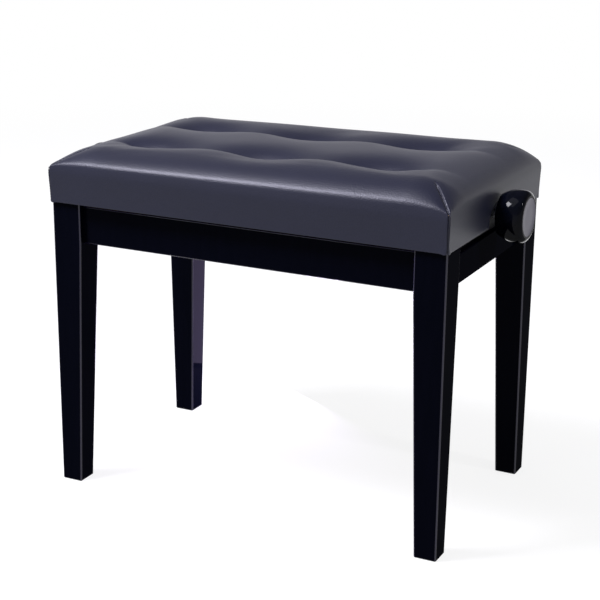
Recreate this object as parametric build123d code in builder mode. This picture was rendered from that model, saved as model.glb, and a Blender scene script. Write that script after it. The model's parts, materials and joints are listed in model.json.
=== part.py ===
from build123d import *
from math import asin, cos, degrees, sqrt
import os

# Height-adjustable piano bench.  Millimetres, +Z up, +X to the right-hand knob, -Y to the front.
# The origin lies on the floor, in the middle of the four legs.  The seat stands at its lowest height.
#
# Wooden base: four legs and four aprons, pulled together by steel corner plates.
# Lift: a steel frame rests on the two lower end aprons and carries a lead screw with a knob at each end.
# Two pairs of crossed arms stand between this frame and the rails under the seat board.
# The nut pulls the lower ends of the inner arms along the frame, and the seat rises.

# ---------------------------------------------------------------- driving sizes: overall
seat_length = 548.0
seat_width = 333.0
seat_overhang_x = 1.5         # seat past the legs' outer faces, at each end
seat_overhang_y = 3.25        # the same at the front and at the back
leg_height = 387.0

# ---------------------------------------------------------------- driving sizes: wooden base
leg_section = 41.5            # square, beside the aprons
foot_section = 29.5           # square, at the floor
leg_edge_radius = 2.0
foot_chamfer = 1.0
leg_corner_flat = 7.0         # flat across the inner corner, facing the corner plate

apron_thickness = 20.0
apron_recess = 9.0            # apron face behind leg face
apron_edge_radius = 1.5
side_apron_height = 49.0      # front and back aprons
side_apron_drop = 4.0         # shadow gap above the front and back aprons
end_apron_height = 37.0       # lower, because the lift frame lies on them

# ---------------------------------------------------------------- driving sizes: corner hardware
corner_plate_thickness = 2.0
corner_plate_height = 26.0
corner_plate_wing = 25.0      # part that lies flat on each apron
corner_plate_standoff = 6.0   # from the leg's inner corner to the plate
corner_plate_lift = 7.0       # above the aprons' lower edge
hanger_bolt_radius = 4.0
hanger_bolt_bite = 28.0       # length inside the leg
hanger_bolt_tail = 12.0       # length past the plate
hanger_nut_flats = 13.0
hanger_nut_height = 6.5
hanger_washer_radius = 8.5
hanger_washer_thickness = 1.6

# ---------------------------------------------------------------- driving sizes: lift
steel_thickness = 2.5
lift_frame_inset = 17.0       # behind the legs' outer faces, at each end
lift_frame_spread = 112.0     # middle to outer face of each lower rail
rail_flange = 25.0
lower_rail_height = 29.0
upper_rail_height = 25.0
upper_rail_margin = 20.0      # past the arms' pivots, at each end
end_bracket_flange = 22.0
end_bracket_rise = 15.0       # low part, between the rails
end_bracket_tongue = 60.0     # width of the raised part round the shaft
end_bracket_cover = 14.0      # steel above the shaft's axis
end_bracket_corner = 12.0

arm_length = 340.0            # pivot to pivot
arm_width = 20.0
arm_thickness = 4.0
washer_gap = 1.0              # between neighbouring flat steel pieces
rod_radius = 4.0
rod_overhang = 2.0            # past the outer face of the lower rails
rivet_head_radius = 7.0
rivet_head_height = 0.8
slide_bush_radius = 6.0
slide_bush_flange = 9.0
clip_radius = 7.5
clip_thickness = 1.0
lower_pivot_rise = 15.0       # above the lift frame's underside
upper_pivot_drop = 11.0       # below the seat board
lift_travel = 100.0

shaft_radius = 6.0
shaft_rise = 29.0             # above the lift frame's underside
thread_length = 90.0
thread_pitch = 4.0
thread_depth = 1.1
thread_crest_width = 1.45     # flat on top of each turn
thread_root_width = 1.45      # flat at the bottom of the groove
thread_relief = 2.2           # width of the plain groove at each end of the thread
thread_relief_depth = 1.3     # a little under the thread's root
thread_overcut = 0.4          # how far the cutting profile stands out past the crests
shaft_bush_wall = 3.0
shaft_bush_flange = 3.0
shaft_bush_flange_thickness = 2.0
shaft_bush_reach = 0.8        # past the outer face of the end bracket
collar_radius = 10.0
collar_width = 8.0
grub_screw_radius = 2.0
nut_block_length = 24.0
nut_block_width = 30.0
nut_block_skin = 5.0          # steel round each of its two bores
nut_block_edge = 3.0

screw_head_radius = 4.5
screw_head_height = 2.5
screw_shank_radius = 2.4
screw_shank_length = 9.0      # in the wood

# ---------------------------------------------------------------- driving sizes: knobs
knob_gap = 5.5                # from the seat's end face
knob_length = 35.0
knob_radius = 33.0
knob_rear_radius = 26.0
knob_face_radius = 26.5
knob_belly = 23.0             # from the rear face to the widest place
knob_bore_depth = 22.0
knob_cap_radius = 24.0
knob_cap_thickness = 1.6

# ---------------------------------------------------------------- driving sizes: seat
seat_side_height = 47.3
crown_rise = 25.5             # middle of the seat above its side edges
crown_shoulder_rise = 20.5
crown_shoulder_width = 42.0
leather_thickness = 1.2
leather_lip = 12.0            # turned under the skirt boards
skirt_board_thickness = 15.0
seat_board_thickness = 12.0
shaft_notch_radius = 30.5
tuft_pitch_x = 162.0
tuft_pitch_y = 128.0
tuft_radius = 60.0
tuft_depth = 8.0
upper_tie_width = 20.0

# ---------------------------------------------------------------- clearances
fit_clearance = 0.05          # shafts, pins and bolts in their holes
thrust_clearance = 0.2        # along an axis
rest_clearance = 0.3          # seat above the leg tops, and between soft pieces
slot_clearance = 1.0          # slide bushes in their slots
open_pivot_clearance = 1.1    # middle rivet in the inner arm
nut_clearance = 1.0           # lead screw in the nut
slot_end_play = 3.0

# ---------------------------------------------------------------- levels and places that follow
leg_span_x = seat_length - 2 * seat_overhang_x       # outer face to outer face, left to right
leg_span_y = seat_width - 2 * seat_overhang_y        # outer face to outer face, front to back
lift_frame_length = leg_span_x - 2 * lift_frame_inset
upper_rail_length = arm_length + 2 * upper_rail_margin

side_apron_top = leg_height - side_apron_drop
apron_bottom = side_apron_top - side_apron_height
corner_plate_bottom = apron_bottom + corner_plate_lift
corner_plate_middle = corner_plate_bottom + corner_plate_height / 2
lift_base = apron_bottom + end_apron_height
lift_floor = lift_base + steel_thickness
lower_pivot_z = lift_base + lower_pivot_rise
shaft_z = lift_base + shaft_rise

seat_bottom = leg_height + rest_clearance
seat_side_top = seat_bottom + seat_side_height
seat_lining = leather_thickness + rest_clearance
seat_board_top = seat_side_top - seat_lining
seat_board_bottom = seat_board_top - seat_board_thickness
skirt_board_bottom = seat_bottom + seat_lining
upper_pivot_z = seat_board_bottom - upper_pivot_drop

leg_inner_x = leg_span_x / 2 - leg_section
leg_inner_y = leg_span_y / 2 - leg_section
apron_inner_x = leg_span_x / 2 - apron_recess - apron_thickness
apron_inner_y = leg_span_y / 2 - apron_recess - apron_thickness

# The flat steel pieces stand side by side, counted from the outside in.
lower_web_inner = lift_frame_spread - steel_thickness
outer_arm_y = lower_web_inner - washer_gap                       # outer face of the outer arm
outer_arm_inner_y = outer_arm_y - arm_thickness
inner_arm_y = outer_arm_inner_y - washer_gap                     # outer face of the inner arm
inner_arm_inner_y = inner_arm_y - arm_thickness
upper_web_y = inner_arm_inner_y - washer_gap                     # outer face of the upper rail
upper_web_inner = upper_web_y - steel_thickness

# Thin rings stand in the gaps between these pieces, and clips stand at the ends of the rods.
washer_start = outer_arm_y + thrust_clearance / 2
washer_end = lower_web_inner - thrust_clearance / 2
bush_flange_start = upper_web_y + thrust_clearance / 2
bush_flange_end = inner_arm_inner_y - thrust_clearance / 2
clip_start = lift_frame_spread + thrust_clearance
clip_end = clip_start + clip_thickness
pin_end = upper_web_inner - thrust_clearance - clip_thickness
pin_clip_end = pin_end + clip_thickness
rod_half_length = lift_frame_spread + rod_overhang

# The crossed arms.  Both hinge at the left; their other ends slide.
pivot_rise = upper_pivot_z - lower_pivot_z
arm_angle_rest = asin(pivot_rise / arm_length)
arm_angle_top = asin((pivot_rise + lift_travel) / arm_length)
hinge_x = -arm_length / 2
slide_x_rest = hinge_x + arm_length * cos(arm_angle_rest)
slide_x_top = hinge_x + arm_length * cos(arm_angle_top)
middle_x = (hinge_x + slide_x_rest) / 2
middle_z = (lower_pivot_z + upper_pivot_z) / 2
slot_middle_x = (slide_x_rest + slide_x_top) / 2
slot_separation = slide_x_rest - slide_x_top + slot_end_play
slot_height = 2 * (slide_bush_radius + slot_clearance)

knob_rear_x = seat_length / 2 + knob_gap
shaft_half_length = knob_rear_x + knob_bore_depth
end_plate_inner_x = lift_frame_length / 2 - steel_thickness
frame_screw_x = (apron_inner_x + lift_frame_length / 2) / 2
frame_screw_y = lift_frame_spread - rail_flange / 2
seat_screw_y = upper_web_inner - rail_flange / 2

rod_bore = rod_radius + fit_clearance
shaft_bore = shaft_radius + fit_clearance
shaft_bush_radius = shaft_bore + shaft_bush_wall
thread_start = slot_middle_x - thread_length / 2
thread_end = slot_middle_x + thread_length / 2

LEFT_RIGHT = (("left", -1), ("right", 1))
FRONT_BACK = (("front", -1), ("back", 1))
CORNERS = [(sign_x, sign_y) for sign_x in (-1, 1) for sign_y in (-1, 1)]


def finish(piece, name):
    """Name a finished piece and write it."""
    piece.part.label = name
    export_step(piece.part, f"parts/{name}.step")


def side_plane(y):
    """Upright plane along the bench at this depth: its x is +X, its y is +Z and it faces the front."""
    return Plane.XZ.offset(-y)


def end_plane(x):
    """Upright plane across the bench: its x is +Y, its y is +Z and it faces right."""
    return Plane.YZ.offset(x)


# ================================================================ wooden base
def leg_square(side, sign_x, sign_y):
    """Centre of a square whose outer faces lie on the leg span."""
    return sign_x * (leg_span_x - side) / 2, sign_y * (leg_span_y - side) / 2


def corner_plane(sign_x, sign_y, inward=0.0):
    """Upright plane across a leg's inner corner, facing into the leg, moved inward from that corner."""
    step = inward / sqrt(2)
    place = (sign_x * (leg_inner_x - step), sign_y * (leg_inner_y - step), corner_plate_middle)
    return Plane(origin=place, x_dir=(0, 0, 1), z_dir=(sign_x, sign_y, 0))


for depth_name, sign_y in FRONT_BACK:
    for side_name, sign_x in LEFT_RIGHT:
        with BuildPart() as leg:
            with BuildSketch(Plane.XY):
                with Locations(leg_square(foot_section, sign_x, sign_y)):
                    RectangleRounded(foot_section, foot_section, leg_edge_radius)
            with BuildSketch(Plane.XY.offset(apron_bottom)):
                with Locations(leg_square(leg_section, sign_x, sign_y)):
                    RectangleRounded(leg_section, leg_section, leg_edge_radius)
            loft()
            with BuildSketch(Plane.XY.offset(apron_bottom)):
                with Locations(leg_square(leg_section, sign_x, sign_y)):
                    RectangleRounded(leg_section, leg_section, leg_edge_radius)
            extrude(amount=leg_height - apron_bottom)
            with BuildSketch(Plane.XY.offset(apron_bottom)):
                with BuildLine():
                    Polyline(
                        (sign_x * leg_inner_x, sign_y * leg_inner_y),
                        (sign_x * (leg_inner_x + leg_corner_flat), sign_y * leg_inner_y),
                        (sign_x * leg_inner_x, sign_y * (leg_inner_y + leg_corner_flat)),
                        close=True,
                    )
                make_face()
            extrude(amount=leg_height - apron_bottom, mode=Mode.SUBTRACT)
            with BuildSketch(corner_plane(sign_x, sign_y)):
                Circle(hanger_bolt_radius + fit_clearance)
            extrude(amount=hanger_bolt_bite, mode=Mode.SUBTRACT)
            chamfer(leg.faces().sort_by(Axis.Z)[0].edges(), foot_chamfer)
        finish(leg, f"leg_{depth_name}_{side_name}")

for depth_name, sign_y in FRONT_BACK:
    with BuildPart() as side_apron:
        with BuildSketch(Plane.XY.offset(apron_bottom)):
            with Locations((0, sign_y * (apron_inner_y + apron_thickness / 2))):
                Rectangle(2 * leg_inner_x, apron_thickness)
        extrude(amount=side_apron_height)
        fillet(side_apron.edges().filter_by(Axis.X), apron_edge_radius)
    finish(side_apron, f"apron_{depth_name}")

frame_screw_spots = [
    (sign_x * frame_screw_x, sign_y * frame_screw_y) for sign_x, sign_y in CORNERS
]

for side_name, sign_x in LEFT_RIGHT:
    with BuildPart() as end_apron:
        with BuildSketch(Plane.XY.offset(apron_bottom)):
            with Locations((sign_x * (apron_inner_x + apron_thickness / 2), 0)):
                Rectangle(apron_thickness, 2 * leg_inner_y)
        extrude(amount=end_apron_height)
        fillet(end_apron.edges().filter_by(Axis.Y), apron_edge_radius)
        with BuildSketch(Plane.XY.offset(lift_base)):
            with Locations(*[spot for spot in frame_screw_spots if spot[0] * sign_x > 0]):
                Circle(screw_shank_radius + fit_clearance)
        extrude(amount=-screw_shank_length, mode=Mode.SUBTRACT)
    finish(end_apron, f"apron_{side_name}")

# ---------------------------------------------------------------- corner plates, bolts and nuts
plate_sum = leg_inner_x + leg_inner_y - corner_plate_standoff * sqrt(2)
plate_bend_x = plate_sum - apron_inner_y          # bend on the front or back apron
plate_bend_y = plate_sum - apron_inner_x          # bend on the end apron
plate_miter = corner_plate_thickness * (sqrt(2) - 1)

for depth_name, sign_y in FRONT_BACK:
    for side_name, sign_x in LEFT_RIGHT:
        outline = (
            (apron_inner_x, plate_bend_y - corner_plate_wing),
            (apron_inner_x, plate_bend_y),
            (plate_bend_x, apron_inner_y),
            (plate_bend_x - corner_plate_wing, apron_inner_y),
            (plate_bend_x - corner_plate_wing, apron_inner_y - corner_plate_thickness),
            (plate_bend_x - plate_miter, apron_inner_y - corner_plate_thickness),
            (apron_inner_x - corner_plate_thickness, plate_bend_y - plate_miter),
            (apron_inner_x - corner_plate_thickness, plate_bend_y - corner_plate_wing),
        )
        with BuildPart() as corner_plate:
            with BuildSketch(Plane.XY.offset(corner_plate_bottom)):
                with BuildLine():
                    Polyline(*[(sign_x * x, sign_y * y) for x, y in outline], close=True)
                make_face()
            extrude(amount=corner_plate_height)
            with BuildSketch(corner_plane(sign_x, sign_y)):
                Circle(hanger_bolt_radius + fit_clearance)
            extrude(amount=-(hanger_bolt_tail + corner_plate_standoff), mode=Mode.SUBTRACT)
        finish(corner_plate, f"corner_plate_{depth_name}_{side_name}")

plate_inner = corner_plate_standoff + corner_plate_thickness
with BuildPart() as hanger_bolts:
    with BuildSketch(*[corner_plane(*corner, plate_inner + hanger_bolt_tail) for corner in CORNERS]):
        Circle(hanger_bolt_radius)
    extrude(amount=plate_inner + hanger_bolt_tail + hanger_bolt_bite)
finish(hanger_bolts, "hanger_bolts")

with BuildPart() as hanger_nuts:
    with BuildSketch(*[corner_plane(*corner, plate_inner) for corner in CORNERS]):
        Circle(hanger_washer_radius)
        Circle(hanger_bolt_radius + fit_clearance, mode=Mode.SUBTRACT)
    extrude(amount=-hanger_washer_thickness)
    with BuildSketch(*[corner_plane(*corner, plate_inner + hanger_washer_thickness) for corner in CORNERS]):
        RegularPolygon(hanger_nut_flats / 2, 6, major_radius=False)
        Circle(hanger_bolt_radius + fit_clearance, mode=Mode.SUBTRACT)
    extrude(amount=-hanger_nut_height)
finish(hanger_nuts, "hanger_nuts")

# ================================================================ lift frame on the end aprons
for depth_name, sign_y in FRONT_BACK:
    with BuildPart() as lower_rail:
        with BuildSketch(end_plane(-lift_frame_length / 2)):
            with Locations((sign_y * (lift_frame_spread - steel_thickness / 2), lift_base + lower_rail_height / 2)):
                Rectangle(steel_thickness, lower_rail_height)
            with Locations((sign_y * (lift_frame_spread - rail_flange / 2), lift_base + steel_thickness / 2)):
                Rectangle(rail_flange, steel_thickness)
        extrude(amount=lift_frame_length)
        with BuildSketch(side_plane(sign_y * lift_frame_spread)):
            with Locations((hinge_x, lower_pivot_z)):
                Circle(rod_bore)
            with Locations((slot_middle_x, lower_pivot_z)):
                SlotCenterToCenter(slot_separation, slot_height)
        extrude(amount=sign_y * steel_thickness, mode=Mode.SUBTRACT)
        with BuildSketch(Plane.XY.offset(lift_base)):
            with Locations(*[spot for spot in frame_screw_spots if spot[1] * sign_y > 0]):
                Circle(screw_shank_radius + fit_clearance)
        extrude(amount=steel_thickness, mode=Mode.SUBTRACT)
    finish(lower_rail, f"lower_rail_{depth_name}")

bracket_half_width = lift_frame_spread - rail_flange
tongue_height = shaft_rise + end_bracket_cover
for side_name, sign_x in LEFT_RIGHT:
    with BuildPart() as end_bracket:
        with BuildSketch(Plane.XY.offset(lift_base)):
            with Locations((sign_x * (lift_frame_length - end_bracket_flange) / 2, 0)):
                Rectangle(end_bracket_flange, 2 * bracket_half_width)
        extrude(amount=steel_thickness)
        with BuildSketch(end_plane(sign_x * lift_frame_length / 2)):
            with Locations((0, lift_base + end_bracket_rise / 2)):
                Rectangle(2 * bracket_half_width, end_bracket_rise)
            with Locations((0, lift_base + tongue_height / 2)):
                tongue = Rectangle(end_bracket_tongue, tongue_height)
            fillet(tongue.vertices().group_by(Axis.Z)[-1], end_bracket_corner)
            with Locations((0, shaft_z)):
                Circle(shaft_bush_radius + fit_clearance, mode=Mode.SUBTRACT)
        extrude(amount=-sign_x * steel_thickness)
    finish(end_bracket, f"end_bracket_{side_name}")

    with BuildPart() as shaft_bush:
        with BuildSketch(end_plane(sign_x * (lift_frame_length / 2 + shaft_bush_reach))):
            with Locations((0, shaft_z)):
                Circle(shaft_bush_radius)
                Circle(shaft_bore, mode=Mode.SUBTRACT)
        extrude(amount=-sign_x * (steel_thickness + shaft_bush_reach))
        with BuildSketch(end_plane(sign_x * end_plate_inner_x)):
            with Locations((0, shaft_z)):
                Circle(shaft_bush_radius + shaft_bush_flange)
                Circle(shaft_bore, mode=Mode.SUBTRACT)
        extrude(amount=-sign_x * shaft_bush_flange_thickness)
    finish(shaft_bush, f"shaft_bush_{side_name}")

with BuildPart() as frame_screws:
    with BuildSketch(Plane.XY.offset(lift_floor)):
        with Locations(*frame_screw_spots):
            Circle(screw_head_radius)
    extrude(amount=screw_head_height)
    fillet(frame_screws.edges().group_by(Axis.Z)[-1], screw_head_height / 2)
    with BuildSketch(Plane.XY.offset(lift_floor)):
        with Locations(*frame_screw_spots):
            Circle(screw_shank_radius)
    extrude(amount=-(steel_thickness + screw_shank_length))
finish(frame_screws, "frame_screws")

# ================================================================ lead screw and its knobs
with BuildPart() as lead_screw:
    with BuildSketch(end_plane(-shaft_half_length)):
        with Locations((0, shaft_z)):
            Circle(shaft_radius)
    extrude(amount=2 * shaft_half_length)
    for relief_x in (thread_start - thread_relief, thread_end):
        with BuildSketch(end_plane(relief_x)):
            with Locations((0, shaft_z)):
                Circle(shaft_radius + thread_overcut)
                Circle(shaft_radius - thread_relief_depth, mode=Mode.SUBTRACT)
        extrude(amount=thread_relief, mode=Mode.SUBTRACT)
    with BuildLine() as groove_path:
        Helix(
            pitch=thread_pitch,
            height=thread_length + thread_relief,
            radius=shaft_radius - thread_depth,
            center=(thread_start - thread_relief / 2, 0, shaft_z),
            direction=(1, 0, 0),
        )
    groove_start = Plane(origin=groove_path.line @ 0, x_dir=(1, 0, 0), z_dir=groove_path.line % 0)
    with BuildSketch(groove_start) as groove:
        root_x = thread_root_width / 2
        crest_x = (thread_pitch - thread_crest_width) / 2
        cut_depth = thread_depth + thread_overcut
        cut_x = root_x + (crest_x - root_x) * cut_depth / thread_depth
        with BuildLine():
            Polyline((-root_x, 0), (-cut_x, cut_depth), (cut_x, cut_depth), (root_x, 0), close=True)
        make_face()
    sweep(groove.sketch, path=groove_path.line, is_frenet=True, mode=Mode.SUBTRACT)
finish(lead_screw, "lead_screw")

collar_outer_x = end_plate_inner_x - shaft_bush_flange_thickness - thrust_clearance
for side_name, sign_x in LEFT_RIGHT:
    with BuildPart() as collar:
        with BuildSketch(end_plane(sign_x * collar_outer_x)):
            with Locations((0, shaft_z)):
                Circle(collar_radius)
                Circle(shaft_bore, mode=Mode.SUBTRACT)
        extrude(amount=-sign_x * collar_width)
        with BuildSketch(Plane.XY.offset(shaft_z)):
            with Locations((sign_x * (collar_outer_x - collar_width / 2), 0)):
                Circle(grub_screw_radius)
        extrude(amount=collar_radius, mode=Mode.SUBTRACT)
    finish(collar, f"thrust_collar_{side_name}")

for side_name, sign_x in LEFT_RIGHT:
    with BuildPart() as knob:
        with BuildSketch(Plane.XZ):
            with BuildLine():
                rear = (sign_x * knob_rear_x, shaft_z + knob_rear_radius)
                belly = (sign_x * (knob_rear_x + knob_belly), shaft_z + knob_radius)
                face = (sign_x * (knob_rear_x + knob_length), shaft_z + knob_face_radius)
                Spline(rear, belly, face, tangents=((sign_x, 0.6), (sign_x * 0.25, -1)))
                Polyline(face, (face[0], shaft_z), (rear[0], shaft_z), rear)
            make_face()
        revolve(axis=Axis((0, 0, shaft_z), (1, 0, 0)))
        with BuildSketch(end_plane(sign_x * knob_rear_x)):
            with Locations((0, shaft_z)):
                Circle(shaft_bore)
        extrude(amount=sign_x * knob_bore_depth, mode=Mode.SUBTRACT)
        with BuildSketch(end_plane(sign_x * (knob_rear_x + knob_length))):
            with Locations((0, shaft_z)):
                Circle(knob_cap_radius + fit_clearance)
        extrude(amount=-sign_x * knob_cap_thickness, mode=Mode.SUBTRACT)
    finish(knob, f"knob_{side_name}")

    with BuildPart() as knob_cap:
        with BuildSketch(end_plane(sign_x * (knob_rear_x + knob_length))):
            with Locations((0, shaft_z)):
                Circle(knob_cap_radius)
        extrude(amount=-sign_x * knob_cap_thickness)
    finish(knob_cap, f"knob_cap_{side_name}")

# ================================================================ nut block
with BuildPart() as nut_block:
    with BuildSketch(side_plane(nut_block_width / 2)):
        foot_radius = rod_radius + nut_block_skin
        block_top = shaft_z + shaft_radius + nut_block_skin
        with Locations((slide_x_rest, lower_pivot_z)):
            Circle(foot_radius)
        with Locations((slide_x_rest, (lower_pivot_z + block_top) / 2)):
            block = Rectangle(nut_block_length, block_top - lower_pivot_z)
        fillet(block.vertices(), nut_block_edge)
        with Locations((slide_x_rest, lower_pivot_z)):
            Circle(rod_bore, mode=Mode.SUBTRACT)
    extrude(amount=nut_block_width)
    with BuildSketch(end_plane(slide_x_rest)):
        with Locations((0, shaft_z)):
            Circle(shaft_radius + nut_clearance)
    extrude(amount=nut_block_length, both=True, mode=Mode.SUBTRACT)
finish(nut_block, "nut_block")


# ================================================================ crossed arms
def arm_sketch(tilt, hinge_z, slide_z, middle_hole):
    """Outline of a flat arm with its three holes."""
    with Locations((middle_x, middle_z)):
        SlotCenterToCenter(arm_length, arm_width, rotation=tilt)
        Circle(middle_hole, mode=Mode.SUBTRACT)
    with Locations((hinge_x, hinge_z), (slide_x_rest, slide_z)):
        Circle(rod_bore, mode=Mode.SUBTRACT)


def ring_pair(spot, inner_radius, outer_radius, start, end):
    """A ring at the front and one at the back, between two distances from the bench's middle."""
    for sign_y in (-1, 1):
        with BuildSketch(side_plane(sign_y * start)) as ring:
            with Locations(spot):
                Circle(outer_radius)
                if inner_radius > 0:
                    Circle(inner_radius, mode=Mode.SUBTRACT)
        extrude(ring.sketch, amount=-sign_y * (end - start))


def disc_pair(spot, radius, start, end):
    """A round piece at the front and one at the back, between two distances from the middle."""
    ring_pair(spot, 0, radius, start, end)


tilt_rest = degrees(arm_angle_rest)
outer_slide = (slide_x_rest, upper_pivot_z)
inner_slide = (slide_x_rest, lower_pivot_z)
outer_hinge = (hinge_x, lower_pivot_z)
inner_hinge = (hinge_x, upper_pivot_z)
middle = (middle_x, middle_z)

for depth_name, sign_y in FRONT_BACK:
    with BuildPart() as outer_arm:
        with BuildSketch(side_plane(sign_y * outer_arm_y)):
            arm_sketch(tilt_rest, lower_pivot_z, upper_pivot_z, rod_bore)
        extrude(amount=sign_y * arm_thickness)
    finish(outer_arm, f"outer_arm_{depth_name}")

    with BuildPart() as inner_arm:
        with BuildSketch(side_plane(sign_y * inner_arm_y)):
            arm_sketch(-tilt_rest, upper_pivot_z, lower_pivot_z, rod_radius + open_pivot_clearance)
        extrude(amount=sign_y * arm_thickness)
    finish(inner_arm, f"inner_arm_{depth_name}")

with BuildPart() as base_pivot_rod:
    with BuildSketch(side_plane(rod_half_length)):
        with Locations(outer_hinge):
            Circle(rod_radius)
    extrude(amount=2 * rod_half_length)
finish(base_pivot_rod, "base_pivot_rod")

with BuildPart() as nut_rod:
    with BuildSketch(side_plane(rod_half_length)):
        with Locations(inner_slide):
            Circle(rod_radius)
    extrude(amount=2 * rod_half_length)
finish(nut_rod, "nut_rod")

with BuildPart() as pivot_rod_clips:
    ring_pair(outer_hinge, rod_bore, clip_radius, clip_start, clip_end)
finish(pivot_rod_clips, "pivot_rod_clips")

with BuildPart() as nut_rod_clips:
    ring_pair(inner_slide, rod_bore, clip_radius, clip_start, clip_end)
finish(nut_rod_clips, "nut_rod_clips")

with BuildPart() as pivot_washers:
    ring_pair(outer_hinge, rod_bore, clip_radius, washer_start, washer_end)
finish(pivot_washers, "pivot_washers")

with BuildPart() as base_slide_bushes:
    ring_pair(inner_slide, rod_bore, slide_bush_radius, inner_arm_y, clip_start)
    ring_pair(inner_slide, rod_bore, slide_bush_flange, washer_start, washer_end)
finish(base_slide_bushes, "base_slide_bushes")

with BuildPart() as seat_slide_bushes:
    ring_pair(outer_slide, rod_bore, slide_bush_radius, pin_clip_end, outer_arm_inner_y)
    ring_pair(outer_slide, rod_bore, slide_bush_flange, bush_flange_start, bush_flange_end)
finish(seat_slide_bushes, "seat_slide_bushes")

with BuildPart() as seat_slide_pins:
    disc_pair(outer_slide, rod_radius, pin_end, outer_arm_y)
    disc_pair(outer_slide, clip_radius, pin_end, pin_clip_end)
    disc_pair(outer_slide, rivet_head_radius, outer_arm_y, outer_arm_y + rivet_head_height)
finish(seat_slide_pins, "seat_slide_pins")

with BuildPart() as middle_rivets:
    disc_pair(middle, rod_radius, inner_arm_inner_y, outer_arm_y)
    disc_pair(middle, rivet_head_radius, outer_arm_y, outer_arm_y + rivet_head_height)
    disc_pair(middle, rivet_head_radius, inner_arm_inner_y - rivet_head_height, inner_arm_inner_y)
finish(middle_rivets, "middle_rivets")

with BuildPart() as seat_pivot_rivets:
    disc_pair(inner_hinge, rod_radius, pin_end, inner_arm_y)
    disc_pair(inner_hinge, clip_radius, pin_end, pin_clip_end)
    disc_pair(inner_hinge, rivet_head_radius, inner_arm_y, inner_arm_y + rivet_head_height)
finish(seat_pivot_rivets, "seat_pivot_rivets")

# ================================================================ seat
seat_screw_spots = [
    (column * upper_rail_length / 3, sign_y * seat_screw_y) for column in (-1, 0, 1) for sign_y in (-1, 1)
]

for depth_name, sign_y in FRONT_BACK:
    with BuildPart() as upper_rail:
        with BuildSketch(end_plane(-upper_rail_length / 2)):
            with Locations((sign_y * (upper_web_y - steel_thickness / 2), seat_board_bottom - upper_rail_height / 2)):
                Rectangle(steel_thickness, upper_rail_height)
            with Locations((sign_y * (upper_web_y - rail_flange / 2), seat_board_bottom - steel_thickness / 2)):
                Rectangle(rail_flange, steel_thickness)
        extrude(amount=upper_rail_length)
        with BuildSketch(side_plane(sign_y * upper_web_y)):
            with Locations(inner_hinge):
                Circle(rod_bore)
            with Locations((slot_middle_x, upper_pivot_z)):
                SlotCenterToCenter(slot_separation, slot_height)
        extrude(amount=sign_y * steel_thickness, mode=Mode.SUBTRACT)
        with BuildSketch(Plane.XY.offset(seat_board_bottom)):
            with Locations(*[spot for spot in seat_screw_spots if spot[1] * sign_y > 0]):
                Circle(screw_shank_radius + fit_clearance)
        extrude(amount=-steel_thickness, mode=Mode.SUBTRACT)
    finish(upper_rail, f"upper_rail_{depth_name}")

for side_name, sign_x in LEFT_RIGHT:
    with BuildPart() as upper_tie:
        with BuildSketch(Plane.XY.offset(seat_board_bottom)):
            with Locations((sign_x * (upper_rail_length - upper_tie_width) / 2, 0)):
                Rectangle(upper_tie_width, 2 * (upper_web_y - rail_flange))
        extrude(amount=-steel_thickness)
    finish(upper_tie, f"upper_tie_{side_name}")

with BuildPart() as seat_screws:
    with BuildSketch(Plane.XY.offset(seat_board_bottom - steel_thickness)):
        with Locations(*seat_screw_spots):
            Circle(screw_head_radius)
    extrude(amount=-screw_head_height)
    fillet(seat_screws.edges().group_by(Axis.Z)[0], screw_head_height / 2)
    with BuildSketch(Plane.XY.offset(seat_board_bottom - steel_thickness)):
        with Locations(*seat_screw_spots):
            Circle(screw_shank_radius)
    extrude(amount=steel_thickness + screw_shank_length)
finish(seat_screws, "seat_screws")

box_length = seat_length - 2 * seat_lining
box_width = seat_width - 2 * seat_lining
with BuildPart() as seat_board:
    with BuildSketch(Plane.XY.offset(seat_board_bottom)):
        Rectangle(box_length, box_width)
    extrude(amount=seat_board_thickness)
    with BuildSketch(Plane.XY.offset(seat_board_bottom)):
        with Locations(*seat_screw_spots):
            Circle(screw_shank_radius + fit_clearance)
    extrude(amount=screw_shank_length, mode=Mode.SUBTRACT)
finish(seat_board, "seat_board")

skirt_height = seat_board_bottom - skirt_board_bottom
for depth_name, sign_y in FRONT_BACK:
    with BuildPart() as side_skirt:
        with BuildSketch(Plane.XY.offset(skirt_board_bottom)):
            with Locations((0, sign_y * (box_width - skirt_board_thickness) / 2)):
                Rectangle(box_length, skirt_board_thickness)
        extrude(amount=skirt_height)
    finish(side_skirt, f"skirt_board_{depth_name}")

for side_name, sign_x in LEFT_RIGHT:
    with BuildPart() as end_skirt:
        with BuildSketch(Plane.XY.offset(skirt_board_bottom)):
            with Locations((sign_x * (box_length - skirt_board_thickness) / 2, 0)):
                Rectangle(skirt_board_thickness, box_width - 2 * skirt_board_thickness)
        extrude(amount=skirt_height)
        with BuildSketch(end_plane(sign_x * seat_length / 2)):
            with Locations((0, seat_bottom)):
                Circle(shaft_notch_radius)
        extrude(amount=-sign_x * (seat_lining + skirt_board_thickness), mode=Mode.SUBTRACT)
    finish(end_skirt, f"skirt_board_{side_name}")


# ---------------------------------------------------------------- crowned foam and leather
def crown_outline(full_length, inset):
    """Upright section of the crowned top, drawn in from the leather's outside by inset."""
    half = full_length / 2 - inset
    edge_z = seat_side_top - inset
    shoulder_z = edge_z + crown_shoulder_rise
    with BuildLine() as outline:
        Spline(
            (0, edge_z + crown_rise),
            (half - crown_shoulder_width, shoulder_z),
            (half, edge_z),
            tangents=((1, 0), (0.6, -1)),
        )
        Line((half, edge_z), (0, edge_z))
        mirror(about=Plane.YZ)
    make_face(outline.line)


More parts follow.
